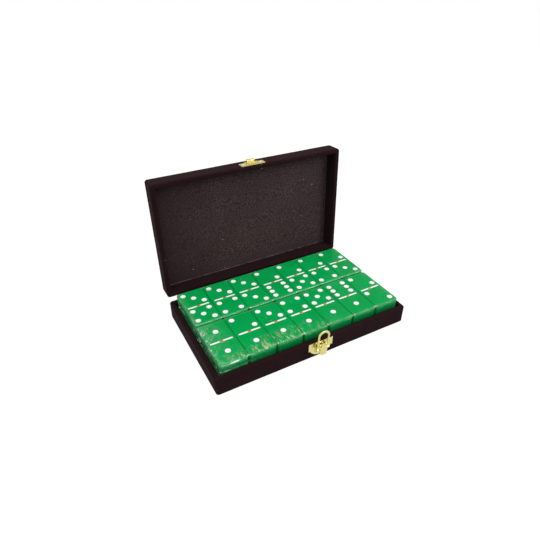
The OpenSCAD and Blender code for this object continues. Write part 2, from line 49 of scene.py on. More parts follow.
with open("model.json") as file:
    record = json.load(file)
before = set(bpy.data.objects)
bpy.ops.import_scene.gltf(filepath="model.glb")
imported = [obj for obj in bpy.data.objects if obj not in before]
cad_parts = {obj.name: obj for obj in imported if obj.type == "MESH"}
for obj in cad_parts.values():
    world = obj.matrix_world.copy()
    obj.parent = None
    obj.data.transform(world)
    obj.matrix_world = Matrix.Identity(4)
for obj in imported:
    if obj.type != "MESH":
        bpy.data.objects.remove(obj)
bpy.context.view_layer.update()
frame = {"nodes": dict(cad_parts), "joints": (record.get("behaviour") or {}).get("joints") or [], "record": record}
MM = 0.001


# ---------- sizes read from the frame ----------


def joint(name):
    """The joint of that name, as the record states it."""
    return next(j for j in frame["joints"] if j["name"] == name)


LID_HINGE = joint("lid_hinge")
OPEN_ANGLE = math.radians(LID_HINGE["range_deg"][1])
TO_OPEN_LID = (
    Matrix.Translation(LID_HINGE["pos_m"])
    @ Matrix.Rotation(-OPEN_ANGLE, 4, "X")
    @ Matrix.Translation(-Vector(LID_HINGE["pos_m"]))
)
TO_SHUT_LID = TO_OPEN_LID.inverted()


def shut_box(node):
    """Lowest and highest corner of a node of the lid, with the lid shut."""
    points = [TO_SHUT_LID @ v.co for v in frame["nodes"][node].data.vertices]
    return [Vector(f(p[i] for p in points) for i in range(3)) for f in (min, max)]


SLOT_OF = {s["node"]: s["material_slot"] for s in frame["record"]["subparts"]}
BASE_LOW, BASE_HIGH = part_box("base_covering")
LID_LOW, LID_HIGH = shut_box("lid_covering")
BOARD_LOW, BOARD_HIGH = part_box("base_left_board")
CLOTH_T = BOARD_LOW.x - BASE_LOW.x
WALL = BOARD_HIGH.x - BASE_LOW.x + CLOTH_T
FLOOR_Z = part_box("base_floor_card")[0].z
PANEL_LOW = shut_box("lid_top_panel")[0]
TURN_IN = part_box("base_underside_sheet")[0].x - BASE_LOW.x

# Numbers of mesh steps along the width, the depth and each corner.
CLOTH_STEPS = (44, 26, 5)
CARD_STEPS = (60, 36, 3)
WALL_STEP = 2.2 * MM
TURN_IN_STEP = 4 * MM
FILM_STEPS = (1.6 * MM, 1.6 * MM, 0.8 * MM)
# Values baked into the film's points for its material, and what the crumpled lumps have of them.
FILM_VALUES = ("crease", "slack", "stretch", "gleam", "painted_notch_shade")
KNOT_VALUES = {"crease": 0.75, "slack": 1.0}
# Places of extra mesh lines of the film: beside a joint, and within and just behind a rounded edge.
JOINT_LINES = [d * MM for d in (0.0, 0.25, 0.5, 0.85, 1.2, 1.7, 2.3, 3.0)]
EDGE_SHARES = (0, 0.2, 0.45, 0.7, 1)
EDGE_LINES = [2.1 * MM, 3.0 * MM]
JOIN_DISTANCE = 0.002 * MM
# Painted highlights, bright lines along the front pack's front: strength, drop below its top, half width, and middle
# and reach from its left end, lengths in millimetres.
PAINTED_FRONT_HIGHLIGHTS = ((1.4, 1.7, 1.1, 13.0, 9.0), (1.3, 7.8, 0.6, 8.0, 18.0), (0.4, 1.2, 0.9, 0.0, math.inf))
FLOOR_REACH = 6.0
FLOOR_DROP = 0.0002


# ---------- settings ----------


def length(name, description, default):
    return FloatProperty(name=name, description=description, default=default, min=0, unit="LENGTH", precision=5)


def share(name, description, default):
    return FloatProperty(name=name, description=description, default=default, min=0, max=1, subtype="FACTOR")


def angle(name, description, degrees):
    return FloatProperty(name=name, description=description, default=math.radians(degrees), subtype="ANGLE")


def power(name, description, default):
    return FloatProperty(name=name, description=description, default=default, min=0, unit="POWER")


def colour(name, description, default):
    return FloatVectorProperty(
        name=name, description=description, default=default, size=3, min=0, max=1, subtype="COLOR"
    )


class ClothSettings(bpy.types.PropertyGroup):
    """The velvet over the base and the lid."""

    dye: colour("Dye", "Colour of the pile", (0.0105, 0.0028, 0.0038))
    brushed: colour("Brushed", "Colour where the pile leans to the light", (0.0235, 0.0105, 0.0125))
    lint: colour("Lint", "Colour of the lint on the pile", (0.14, 0.12, 0.12))
    corner: length("Corner radius", "Radius of the covered corners, seen from above", 2.5 * MM)
    rim: length("Rim radius", "Radius of the covered rims and edges", 1.4 * MM)
    inner_corner: length("Inner corner radius", "Radius that the cloth takes inside the corners", 0.4 * MM)
    wave: length("Waviness", "How far the glued cloth stands off or sinks in", 0.10 * MM)
    wave_span: length("Wave length", "Distance between the waves", 17 * MM)


class CardSettings(bpy.types.PropertyGroup):
    """The flocked cards inside the lid, on the floor and under the base."""

    ground: colour("Ground", "Colour of the flock", (0.0205, 0.0108, 0.0122))
    fleck: colour("Fleck", "Colour of the pale fibres in it", (0.150, 0.108, 0.112))
    cut_edge: colour("Cut edge", "Colour of the card's cut edge", (0.16, 0.13, 0.125))
    worn: colour("Worn", "Colour where the flock is rubbed off along the hinged side", (0.36, 0.30, 0.26))
    dust: colour("Dust", "Colour of the specks on the flock", (0.42, 0.34, 0.20))
    bow: length("Bow", "How far the card bows off its panel", 0.15 * MM)


class DominoSettings(bpy.types.PropertyGroup):
    """The dominoes and their paint."""

    green: colour("Green", "Colour of the dominoes", (0.0005, 0.335, 0.075))
    deep_green: colour("Deep green", "Colour where the plastic is darker", (0.0002, 0.28, 0.056))
    paint: colour("Paint", "Colour of the painted pips and lines", (0.90, 0.89, 0.87))
    stain: colour("Stain", "Tint of the paint where it is thin", (0.74, 0.66, 0.62))
    dust: colour("Dust", "Colour of the specks on the plastic", (0.35, 0.55, 0.40))


class FilmSettings(bpy.types.PropertyGroup):
    """The clear film round each pack."""

    milk: colour("Milk", "Colour of the film where it is creased", (0.72, 0.88, 0.76))
    # Painted warm reflection: golden streaks painted on the front of the front pack.
    painted_warm_reflection: colour("Gold", "Colour of the fine stretch marks", (0.82, 0.66, 0.10))
    # Painted highlight: white painted on the sharpest creases and the brightest tight edges of the film.
    painted_shine: colour("Shine", "Colour of the sharpest creases", (0.93, 0.97, 0.93))
    # Painted highlight: green painted along the tight edges of the film.
    painted_glint: colour("Glint", "Colour of the tight edges of the film", (0.14, 0.84, 0.34))
    # Painted shade: dark green painted into the notches between the dominoes' corners at the back of each pack.
    painted_notch_shade_colour: colour("Gathered", "Colour of the film gathered between the dominoes' corners", (0.010, 0.16, 0.045))
    clearance: length("Stand-off", "Distance of the film from the dominoes", 0.10 * MM)
    corner: length("Corner radius", "Radius of the wrapped corners, seen from above", 3.0 * MM)
    edge: length("Edge radius", "Radius of the wrapped edges", 1.2 * MM)
    top_dip: share("Top dip", "Share of the joint's depth that the film takes on top", 0.2)
    side_dip: share("Side dip", "Share of the joint's depth that the film takes on the sides", 0.75)
    crease: length("Crease height", "Height of the creases", 0.18 * MM)
    knot: length("Knot size", "Size of the crumpled ends at the corners", 1.0 * MM)


class BrassSettings(bpy.types.PropertyGroup):
    """The brass fittings."""

    bright: colour("Bright", "Colour of the polished brass", (0.68, 0.61, 0.25))
    dull: colour("Dull", "Colour of the tarnish in the hollows", (0.36, 0.26, 0.05))
    scratch: colour("Scratch", "Colour of the hairlines", (0.85, 0.78, 0.42))
    # Painted shade: the catch plate gets a darker copy of the brass that tones down its reflections.
    catch_painted_shade: share("Catch age", "Least tarnish of the catch plate", 0.55)
    roughness: share("Roughness", "Roughness of the polished sheet", 0.24)
    pin: colour("Pin", "Colour of the dominoes' pins", (0.62, 0.36, 0.13))
    pin_shade: colour("Pin shade", "Darker colour of the pins", (0.40, 0.19, 0.06))


class StageSettings(bpy.types.PropertyGroup):
    """The camera, the lamps and the floor."""

    camera: FloatVectorProperty(
        name="Camera", description="Place of the camera", default=(-0.17253, -0.28430, 0.27872), subtype="XYZ"
    )
    azimuth: angle("Azimuth", "Turn of the view", 28.61)
    elevation: angle("Elevation", "Tilt of the view down", 33.82)
    field_of_view: angle("Field of view", "Angle of the view", 62.15)
    floor: colour("Floor", "Colour of the floor", (0.55, 0.55, 0.55))
    sky: share("Sky", "Strength of the even light from all round", 0.48)
    key: power("Key", "Power of the lamp in front", 6.2)
    top: power("Top", "Power of the lamp overhead", 6.6)


# ---------- node trees ----------


def add_node(tree, kind, inputs=None, **settings):
    """A node with its settings, and its inputs set or linked by name or number."""
    made = tree.nodes.new(kind)
    for key, value in settings.items():
        setattr(made, key, value)
    for key, value in (inputs or {}).items():
        if isinstance(value, bpy.types.NodeSocket):
            tree.links.new(value, made.inputs[key])
        else:
            made.inputs[key].default_value = value
    return made


def math_node(tree, operation, a, b=0.0, clamp=False):
    return add_node(tree, "ShaderNodeMath", {0: a, 1: b}, operation=operation, use_clamp=clamp).outputs[0]


def times(tree, value, *factors):
    """The product of all the values."""
    for factor in factors:
        value = math_node(tree, "MULTIPLY", value, factor)
    return value


def weighted_sum(tree, *terms, clamp=False):
    """The sum of (value, weight) pairs, kept in 0 to 1 if clamp."""
    total = 0.0
    for value, weight in terms:
        node = add_node(tree, "ShaderNodeMath", {0: value, 1: weight, 2: total}, operation="MULTIPLY_ADD")
        total = node.outputs[0]
    node.use_clamp = clamp
    return total


def feed(tree, shader, **sockets):
    """Links each socket to the shader's input of that name, with _ for a space."""
    for key, socket in sockets.items():
        tree.links.new(socket, shader.inputs[key.replace("_", " ")])


def spread(tree, value, low, high, to_low=0.0, to_high=1.0):
    """value taken from between low and high to between to_low and to_high, and clamped there."""
    inputs = {"Value": value, "From Min": low, "From Max": high, "To Min": to_low, "To Max": to_high}
    return add_node(tree, "ShaderNodeMapRange", inputs).outputs["Result"]


def blend_colours(tree, factor, a, b):
    """Colour a where factor is 0 and colour b where it is 1."""
    node = add_node(tree, "ShaderNodeMix", data_type="RGBA")
    for socket, value in zip((node.inputs[0], node.inputs[6], node.inputs[7]), (factor, a, b)):
        if isinstance(value, bpy.types.NodeSocket):
            tree.links.new(value, socket)
        elif hasattr(value, "__len__"):
            socket.default_value = (*value[:3], 1)
        else:
            socket.default_value = value
    return node.outputs[2]


def place(tree, scale=(1, 1, 1), turn=0.0):
    """The point of the surface in metres, turned about Z and stretched; it follows the piece as it moves."""
    point = add_node(tree, "ShaderNodeTexCoord").outputs["Object"]
    if turn:
        turned = add_node(tree, "ShaderNodeVectorRotate", {"Vector": point, "Angle": math.radians(turn)})
        point = turned.outputs[0]
    return add_node(tree, "ShaderNodeMapping", {"Vector": point, "Scale": scale}).outputs["Vector"]


def noise_node(tree, vector, scale, detail=3.0, roughness=0.55, distortion=0.0):
    inputs = {"Vector": vector, "Scale": scale, "Detail": detail, "Roughness": roughness, "Distortion": distortion}
    return add_node(tree, "ShaderNodeTexNoise", inputs).outputs[0]


def new_group(name, inputs, outputs):
    """An empty node group with float inputs {name: default} and outputs by name; also its first and last node."""
    tree = bpy.data.node_groups.new(name, "ShaderNodeTree")
    for key, default in inputs.items():
        socket = tree.interface.new_socket(key, in_out="INPUT", socket_type="NodeSocketFloat")
        socket.default_value = default
    for key in outputs:
        tree.interface.new_socket(key, in_out="OUTPUT", socket_type="NodeSocketFloat")
    return tree, tree.nodes.new("NodeGroupInput"), tree.nodes.new("NodeGroupOutput")


def pile_group():
    """Pile: Shade says how the fibres lean, in patches, streaks and single tufts, and Height is their relief."""
    tree, given, result = new_group("Pile", {"Tuft": 2600.0, "Patch": 55.0, "Contrast": 1.0}, ("Shade", "Height"))
    point = place(tree)
    tufts = noise_node(tree, point, given.outputs["Tuft"], 2.0, 0.7)
    clumps = noise_node(tree, point, 620.0, 3.0, 0.6)
    patches = noise_node(tree, point, given.outputs["Patch"], 4.0, 0.6, 0.8)
    strokes = noise_node(tree, place(tree, (0.35, 1.0, 1.3)), 240.0, 2.0, 0.5, 1.5)
    shade = weighted_sum(
        tree,
        (spread(tree, tufts, 0.3, 0.7), 0.42),
        (spread(tree, clumps, 0.3, 0.7), 0.2),
        (spread(tree, patches, 0.35, 0.65), 0.24),
        (spread(tree, strokes, 0.35, 0.65), 0.14),
    )
    swing = times(tree, math_node(tree, "SUBTRACT", shade, 0.5), given.outputs["Contrast"])
    shade = math_node(tree, "ADD", swing, 0.5, clamp=True)
    feed(tree, result, Shade=shade, Height=weighted_sum(tree, (tufts, 1.0), (clumps, 0.8)))
    return tree


def lint_group():
    """Lint: Mask is 1 on sparse bright specks and short fibres."""
    tree, given, result = new_group("Lint", {"Density": 0.1, "Speck": 420.0}, ("Mask",))
    point = place(tree)
    specks = add_node(tree, "ShaderNodeTexVoronoi", {"Vector": point, "Scale": given.outputs["Speck"]})
    chosen = add_node(tree, "ShaderNodeSeparateColor", {"Color": specks.outputs["Color"]})
    rare = math_node(tree, "LESS_THAN", chosen.outputs[0], given.outputs["Density"])
    spot = spread(tree, specks.outputs["Distance"], 0.10, 0.22, 1.0, 0.0)
    drawn_out = place(tree, (1.0, 0.16, 0.4))
    fibres = add_node(tree, "ShaderNodeTexVoronoi", {"Vector": drawn_out, "Scale": given.outputs["Speck"]})
    pick = add_node(tree, "ShaderNodeSeparateColor", {"Color": fibres.outputs["Color"]})
    few = math_node(tree, "LESS_THAN", pick.outputs[1], times(tree, given.outputs["Density"], 0.5))
    thread = spread(tree, fibres.outputs["Distance"], 0.05, 0.12, 0.7, 0.0)
    spot, thread = times(tree, rare, spot), times(tree, few, thread)
    mask = math_node(tree, "MAXIMUM", spot, thread)
    feed(tree, result, Mask=mask)
    return tree


def scratch_group():
    """Scratches: Mask is 1 along fine hairlines in two directions."""
    tree, given, result = new_group("Scratches", {"Scale": 180.0, "Amount": 0.3}, ("Mask",))
    lines = []
    for stretch in ((1.0, 0.06, 0.3), (0.07, 1.0, 0.4)):
        wave = noise_node(tree, place(tree, stretch), given.outputs["Scale"], 4.0, 0.7, 0.6)
        ridge = math_node(tree, "ABSOLUTE", math_node(tree, "SUBTRACT", wave, 0.5))
        lines.append(spread(tree, ridge, 0.0, 0.018, 1.0, 0.0))
    both = math_node(tree, "MAXIMUM", *lines)
    broken = spread(tree, noise_node(tree, place(tree), 90.0, 3.0), 0.48, 0.62)
    mask = times(tree, both, broken, given.outputs["Amount"])
    feed(tree, result, Mask=mask)
    return tree


def wear_group():
    """Edge wear: Edge is 1 on rubbed outer edges and Hollow is 1 in inner corners."""
    tree, given, result = new_group("Edge wear", {"Reach": 0.06}, ("Edge", "Hollow"))
    bend = add_node(tree, "ShaderNodeNewGeometry").outputs["Pointiness"]
    ragged = times(tree, noise_node(tree, place(tree), 900.0, 4.0), 0.04)
    bend = math_node(tree, "SUBTRACT", math_node(tree, "ADD", bend, ragged), 0.52)
    edge = math_node(tree, "DIVIDE", bend, given.outputs["Reach"], clamp=True)
    hollow = math_node(tree, "DIVIDE", times(tree, bend, -1.0), given.outputs["Reach"], clamp=True)
    feed(tree, result, Edge=edge, Hollow=hollow)
    return tree


GROUP_MAKERS = {"Pile": pile_group, "Lint": lint_group, "Scratches": scratch_group, "Edge wear": wear_group}


def effect(tree, name, **values):
    """One of the shared effects, made on first use, with its own values."""
    group = bpy.data.node_groups.get(name) or GROUP_MAKERS[name]()
    node = add_node(tree, "ShaderNodeGroup", node_tree=group)
    for key, value in values.items():
        node.inputs[key.replace("_", " ").capitalize()].default_value = value
    return node


def new_material(name, **settings):
    """A material with one Principled BSDF, its plain settings given by name with _ for a space."""
    material = bpy.data.materials.new(name)
    material.use_nodes = True
    tree = material.node_tree
    shader = tree.nodes["Principled BSDF"]
    for key, value in settings.items():
        socket = shader.inputs[key.replace("_", " ")]
        socket.default_value = (*value, 1) if hasattr(value, "__len__") and len(value) == 3 else value
    return material, tree, shader


def bump(tree, shader, height, strength, distance):
    inputs = {"Height": height, "Strength": strength, "Distance": distance}
    feed(tree, shader, Normal=add_node(tree, "ShaderNodeBump", inputs).outputs[0])


# ---------- materials ----------


def velvet_material(settings):
    """Dark velvet: leaning pile in two tones, a soft sheen and a little lint."""
    material, tree, shader = new_material(
        "velvet",
        Roughness=0.95,
        Specular_IOR_Level=0.05,
        Sheen_Weight=0.03,
        Sheen_Roughness=0.5,
        Sheen_Tint=(0.62, 0.42, 0.46),
    )
    pile = effect(tree, "Pile", tuft=3400.0, patch=38.0, contrast=1.1)
    lint = effect(tree, "Lint", density=0.008, speck=380.0)
    cloth = blend_colours(tree, pile.outputs["Shade"], settings.dye, settings.brushed)
    feed(tree, shader, Base_Color=blend_colours(tree, lint.outputs["Mask"], cloth, settings.lint))
    bump(tree, shader, pile.outputs["Height"], 0.3, 0.15 * MM)
    return material


def card_material(settings):
    """Flocked card: a salt and pepper of pale fibres on a dark ground, with dust on it; fewer pale fibres towards
    the left end, a painted shade.
    """
    material, tree, shader = new_material("flocked_card", Roughness=0.95, Specular_IOR_Level=0.05)
    pile = effect(tree, "Pile", tuft=1500.0, patch=30.0, contrast=1.0)
    lint = effect(tree, "Lint", density=0.006, speck=330.0)
    point = place(tree)
    salt = spread(tree, noise_node(tree, point, 900.0, 3.0, 0.85), 0.41, 0.66)
    worn_thin = spread(tree, noise_node(tree, point, 14.0, 2.0), 0.25, 0.75, 0.55, 1.0)
    # Painted shade: the pale fibres thin out towards the left end, so the card is darker there.
    across = add_node(tree, "ShaderNodeSeparateXYZ", {"Vector": point}).outputs["X"]
    salt = times(tree, salt, worn_thin, spread(tree, across, -0.092, -0.03, 0.25, 1.0))
    flock = blend_colours(tree, pile.outputs["Shade"], settings.ground, [2.0 * c for c in settings.ground])
    flock = blend_colours(tree, times(tree, salt, 0.63), flock, settings.fleck)
    fray = add_node(tree, "ShaderNodeAttribute", attribute_name="fray").outputs["Fac"]
    worn = spread(tree, noise_node(tree, place(tree, (0.35, 1.0, 1.0)), 420.0, 3.0, 0.7), 0.35, 0.62)
    flock = blend_colours(tree, times(tree, worn, fray), flock, settings.worn)
    feed(tree, shader, Base_Color=blend_colours(tree, lint.outputs["Mask"], flock, settings.dust))
    bump(tree, shader, pile.outputs["Height"], 0.5, 0.15 * MM)
    return material


def card_edge_material(settings):
    """The cut edge of the card, paler and torn by the knife."""
    material, tree, shader = new_material("card_edge", Roughness=0.85)
    fray = spread(tree, noise_node(tree, place(tree, (0.5, 0.5, 2.0)), 700.0, 4.0, 0.7), 0.35, 0.7)
    feed(tree, shader, Base_Color=blend_colours(tree, fray, settings.ground, settings.cut_edge))
    bump(tree, shader, fray, 0.4, 0.1 * MM)
    return material


def board_material():
    """Bare thin board with a straight grain."""
    material, tree, shader = new_material("board", Roughness=0.75)
    grain = noise_node(tree, place(tree, (0.12, 1.0, 1.0)), 900.0, 5.0, 0.6, 1.2)
    bands = noise_node(tree, place(tree, (0.05, 1.0, 1.0)), 120.0, 2.0, 0.5, 2.0)
    mix = weighted_sum(tree, (grain, 0.6), (bands, 0.4))
    wood = blend_colours(tree, spread(tree, mix, 0.35, 0.65), (0.30, 0.19, 0.10), (0.50, 0.36, 0.20))
    feed(tree, shader, Base_Color=wood)
    bump(tree, shader, grain, 0.3, 0.1 * MM)
    return material


def domino_material(settings):
    """Moulded plastic with a slow drift of colour, painted shade darkening it towards its foot, with hairlines and
    dust.
    """
    material, tree, shader = new_material("domino_plastic", Specular_IOR_Level=0.04)
    drift = spread(tree, noise_node(tree, place(tree), 46.0, 3.0, 0.5, 1.0), 0.3, 0.75)
    body = blend_colours(tree, drift, settings.green, settings.deep_green)
    within = add_node(tree, "ShaderNodeTexCoord").outputs["Generated"]
    height = add_node(tree, "ShaderNodeSeparateXYZ", {"Vector": within}).outputs["Z"]
    # Painted shade: each domino gets darker towards its bottom.
    foot = [0.35 * c for c in settings.deep_green]
    body = blend_colours(tree, spread(tree, height, 0.2, 0.9, 0.85, 0.0), body, foot)
    lint = effect(tree, "Lint", density=0.012, speck=520.0)
    scratches = effect(tree, "Scratches", scale=140.0, amount=0.5)
    haze = spread(tree, noise_node(tree, place(tree), 70.0, 3.0), 0.3, 0.7, 0.16, 0.26)
    rough = weighted_sum(tree, (haze, 1.0), (scratches.outputs["Mask"], 0.3))
    body = blend_colours(tree, lint.outputs["Mask"], body, settings.dust)
    feed(tree, shader, Base_Color=body, Roughness=rough)
    orange_peel = noise_node(tree, place(tree), 420.0, 2.0)
    bump(tree, shader, orange_peel, 0.10, 0.12 * MM)
    return material


def paint_material(settings):
    """White enamel, pooled in the pips, thin and stained in places."""
    material, tree, shader = new_material("pip_paint", Roughness=0.35, Specular_IOR_Level=0.4)
    thin = spread(tree, noise_node(tree, place(tree), 520.0, 3.0, 0.6), 0.52, 0.72)
    stained = times(tree, thin, 0.35)
    feed(tree, shader, Base_Color=blend_colours(tree, stained, settings.paint, settings.stain))
    bump(tree, shader, noise_node(tree, place(tree), 900.0, 2.0), 0.15, 0.08 * MM)
    return material


def brass_material(settings, name="brass", least_dull=0.0):
    """Stamped brass sheet: bright where it is rubbed, dull in the hollows, with hairlines and tarnish spots.

    least_dull is the least dulling anywhere on it, 0 to 1; the catch plate's is a painted shade, a darker copy of
    the brass.
    """
    material, tree, shader = new_material(name, Metallic=1.0)
    wear = effect(tree, "Edge wear", reach=0.06)
    scratches = effect(tree, "Scratches", scale=420.0, amount=0.8)
    tarnish = spread(tree, noise_node(tree, place(tree), 260.0, 4.0, 0.6, 0.6), 0.46, 0.74)
    dull = math_node(tree, "MAXIMUM", times(tree, tarnish, 0.55), wear.outputs["Hollow"])
    dull = math_node(tree, "SUBTRACT", dull, times(tree, wear.outputs["Edge"], 0.6), clamp=True)
    # least_dull raises the dulling everywhere; on the catch plate this is painted shade.
    dull = math_node(tree, "MAXIMUM", dull, least_dull)
    metal = blend_colours(tree, dull, settings.bright, settings.dull)
    metal = blend_colours(tree, scratches.outputs["Mask"], metal, settings.scratch)
    rough = math_node(tree, "ADD", times(tree, dull, 0.22), settings.roughness)
    feed(tree, shader, Base_Color=metal, Roughness=rough)
    hammer = noise_node(tree, place(tree), 380.0, 3.0, 0.5)
    bump(tree, shader, math_node(tree, "ADD", hammer, scratches.outputs["Mask"]), 0.16, 0.12 * MM)
    return material


def spinner_material(settings):
    """The pins' dull reddish brass."""
    material, tree, shader = new_material("spinner_brass", Metallic=0.7)
    spots = spread(tree, noise_node(tree, place(tree), 700.0, 3.0, 0.6), 0.4, 0.65)
    scratches = effect(tree, "Scratches", scale=600.0, amount=0.8)
    rough = math_node(tree, "ADD", times(tree, scratches.outputs["Mask"], 0.2), 0.42)
    metal = blend_colours(tree, spots, settings.pin, settings.pin_shade)
    feed(tree, shader, Base_Color=metal, Roughness=rough)
    bump(tree, shader, spots, 0.2, 0.08 * MM)
    return material


def film_material(settings):
    """Shrunk clear film: all but invisible where it is flat, milky where it is slack, with golden streaks painted as
    warm reflections.

    Painted highlights shine along its creases and tight edges, and painted shade makes it dark green in the notches
    between two corners at the back.
    """
    material, tree, shader = new_material("clear_film", Roughness=0.12, Specular_IOR_Level=0.9)
    crease, slack, stretch, gleam, painted_notch_shade = (
        add_node(tree, "ShaderNodeAttribute", attribute_name=name).outputs["Fac"] for name in FILM_VALUES
    )
    ridges = []
    for turn in (9, -21, 52):
        lines = noise_node(tree, place(tree, (1.0, 0.10, 0.6), turn), 420.0, 3.0, 0.6, 0.4)
        off = math_node(tree, "ABSOLUTE", math_node(tree, "SUBTRACT", lines, 0.5))
        ridges.append(spread(tree, off, 0.0, 0.026, 1.0, 0.0))
    ridge = math_node(tree, "MAXIMUM", ridges[0], ridges[1])
    patches = spread(tree, noise_node(tree, place(tree, (1.0, 0.4, 1.0)), 230.0, 3.0, 0.6), 0.46, 0.60)
    # Golden streaks, painted warm reflections, placed by the baked stretch values.
    marks = times(tree, ridge, patches, spread(tree, stretch, 0.1, 0.6))
    cloud = spread(tree, noise_node(tree, place(tree, (1.0, 0.5, 1.0)), 210.0, 4.0, 0.65, 1.0), 0.42, 0.68)
    haze = weighted_sum(tree, (cloud, 0.22), (ridges[2], 1.3), (ridges[1], 0.65))
    haze = times(tree, haze, slack)
    crest = spread(tree, crease, 0.35, 0.85)
    tone = blend_colours(tree, marks, settings.milk, settings.painted_warm_reflection)
    # Painted highlights: a green glint along the tight edges, then white on the creases and the brightest edges.
    tone = blend_colours(tree, spread(tree, gleam, 0.03, 0.15), tone, settings.painted_glint)
    painted_shine = math_node(tree, "MAXIMUM", crest, spread(tree, gleam, 0.6, 1.0))
    tone = blend_colours(tree, painted_shine, tone, settings.painted_shine)
    # Painted shade: dark green in the notches at the back.
    tone = blend_colours(tree, painted_notch_shade, tone, settings.painted_notch_shade_colour)
    rim = add_node(tree, "ShaderNodeFresnel", {"IOR": 1.35}).outputs[0]
    parts = ((rim, 0.06), (marks, 0.8), (haze, 0.38), (gleam, 1.0), (crest, 0.75), (painted_notch_shade, 0.9))
    feed(tree, shader, Base_Color=tone, Alpha=weighted_sum(tree, *parts, clamp=True))
    bump(tree, shader, math_node(tree, "ADD", lines, crease), 0.35, 0.2 * MM)
    return material


# ---------- mesh building ----------


def rounded_loop(half_w, half_d, radius, steps):
    """Points round a rectangle with rounded corners; steps are the pieces along its width, depth and corners."""
    along_w, along_d, around = steps
    corners = []
    for turn, (sx, sy) in enumerate(((1, 1), (-1, 1), (-1, -1), (1, -1))):
        x, y = sx * (half_w - radius), sy * (half_d - radius)
        angles = [math.radians(90 * (turn + i / around)) for i in range(around + 1)]
        corners.append([(x + radius * math.cos(a), y + radius * math.sin(a)) for a in angles])
    loop = []
    for turn, count in enumerate((along_w, along_d, along_w, along_d)):
        loop += corners[turn]
        (ax, ay), (bx, by) = corners[turn][-1], corners[(turn + 1) % 4][0]
        loop += [(ax + (bx - ax) * i / count, ay + (by - ay) * i / count) for i in range(1, count)]
    return loop


def stretch_points(a, b, step):
    """Points from a up to but not including b, about step apart."""
    count = max(1, round(math.dist(a, b) / step))
    return [tuple(p + (q - p) * i / count for p, q in zip(a, b)) for i in range(count)]


def bend_points(centre, radius, start, end, count=5):
    """Points round a bend from the angle start up to but not including end, in degrees."""
    angles = [math.radians(start + (end - start) * i / count) for i in range(count)]
    return [(centre[0] + radius * math.cos(a), centre[1] + radius * math.sin(a)) for a in angles]


def mesh_from(name, points, faces):
    mesh = bpy.data.meshes.new(name)
    mesh.from_pydata(points, [], faces)
    return mesh


def loft(name, half_w, half_d, profile, corner_of, steps, round_again):
    """A skin through one loop for each (inset, height) of the profile, closed onto itself if round_again."""
    points = []
    for inset, height in profile:
        loop = rounded_loop(half_w - inset, half_d - inset, min(corner_of(inset), half_d - inset), steps)
        points += [(x, y, height) for x, y in loop]
    size = len(points) // len(profile)
    rows = len(profile)
    faces = [
        (r * size + i, r * size + (i + 1) % size, (r + 1) % rows * size + (i + 1) % size, (r + 1) % rows * size + i)
        for r in range(rows if round_again else rows - 1)
        for i in range(size)
    ]
    return mesh_from(name, points, faces)


def clean(mesh, sharp_angle=50):
    """Joins points that coincide, turns the faces outwards and shades the skin smooth up to an angle."""
    work = bmesh.new()
    work.from_mesh(mesh)
    bmesh.ops.remove_doubles(work, verts=work.verts, dist=JOIN_DISTANCE)
    bmesh.ops.dissolve_degenerate(work, edges=work.edges, dist=JOIN_DISTANCE)
    bmesh.ops.recalc_face_normals(work, faces=work.faces)
    work.to_mesh(mesh)
    work.free()
    mesh.shade_smooth()
    mesh.set_sharp_from_angle(angle=math.radians(sharp_angle))


def new_piece(name, mesh, body, materials, replaced=()):
    """An object for the mesh, riding on its body and standing for the nodes that it replaces."""
    piece = bpy.data.objects.new(name, mesh)
    bpy.context.scene.collection.objects.link(piece)
    for material in materials:
        mesh.materials.append(material)
    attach(piece, body)
    if replaced:
        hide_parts(*replaced)
    return piece


def finish_piece(name, material):
    """Gives one node its finish."""
    materials = frame["nodes"][name].data.materials
    materials.clear()
    materials.append(material)


def finish_nodes(slot, material):
    """Gives every node of a material slot its finish."""
    for name in frame["nodes"]:
        if SLOT_OF[name] == slot:
            finish_piece(name, material)


def ripple(mesh, height, span, seed, meets):
    """Moves each point along its normal by a slow noise.

    What faces the direction meets, where the two trays meet when shut, is only moved inwards.
    """
    for vertex, normal in zip(mesh.vertices, [v.normal.copy() for v in mesh.vertices]):
        amount = noise.noise(vertex.co / span + Vector((seed, seed, seed)))
        if normal.dot(meets) > 0.1:
            amount = -abs(amount) - 0.1
        vertex.co += normal * height * amount


# ---------- pieces ----------


def wall_profile(height, lining_z, start, settings):
    """Outer, rim and inner side of a covered wall as (inset, height), and back along the boards."""
    rim, step = settings.rim, WALL_STEP
    points = stretch_points((start, 0), (rim, 0), TURN_IN_STEP)
    points += bend_points((rim, rim), rim, -90, -180)
    points += stretch_points((0, rim), (0, height - rim), step)
    points += bend_points((rim, height - rim), rim, 180, 90)
    points += stretch_points((rim, height), (WALL - rim, height), step)
    points += bend_points((WALL - rim, height - rim), rim, 90, 0)
    points += stretch_points((WALL, height - rim), (WALL, lining_z), step)
    points += [(WALL, lining_z), (WALL - CLOTH_T, lining_z), (WALL - CLOTH_T, height - CLOTH_T)]
    points += [(CLOTH_T, height - CLOTH_T), (CLOTH_T, CLOTH_T), (start, CLOTH_T)]
    return points


def cloth_mesh(name, low, high, lining_z, start, settings, whole):
    """The covering of one tray, standing open upwards on z = 0; whole covers its flat side too."""
    half_w, half_d = (high.x - low.x) / 2, (high.y - low.y) / 2
    profile = wall_profile(high.z - low.z, lining_z, start, settings)

    def corner_of(inset):
        return max(settings.corner - inset, settings.inner_corner)

    return loft(name, half_w, half_d, profile, corner_of, CLOTH_STEPS, round_again=not whole)


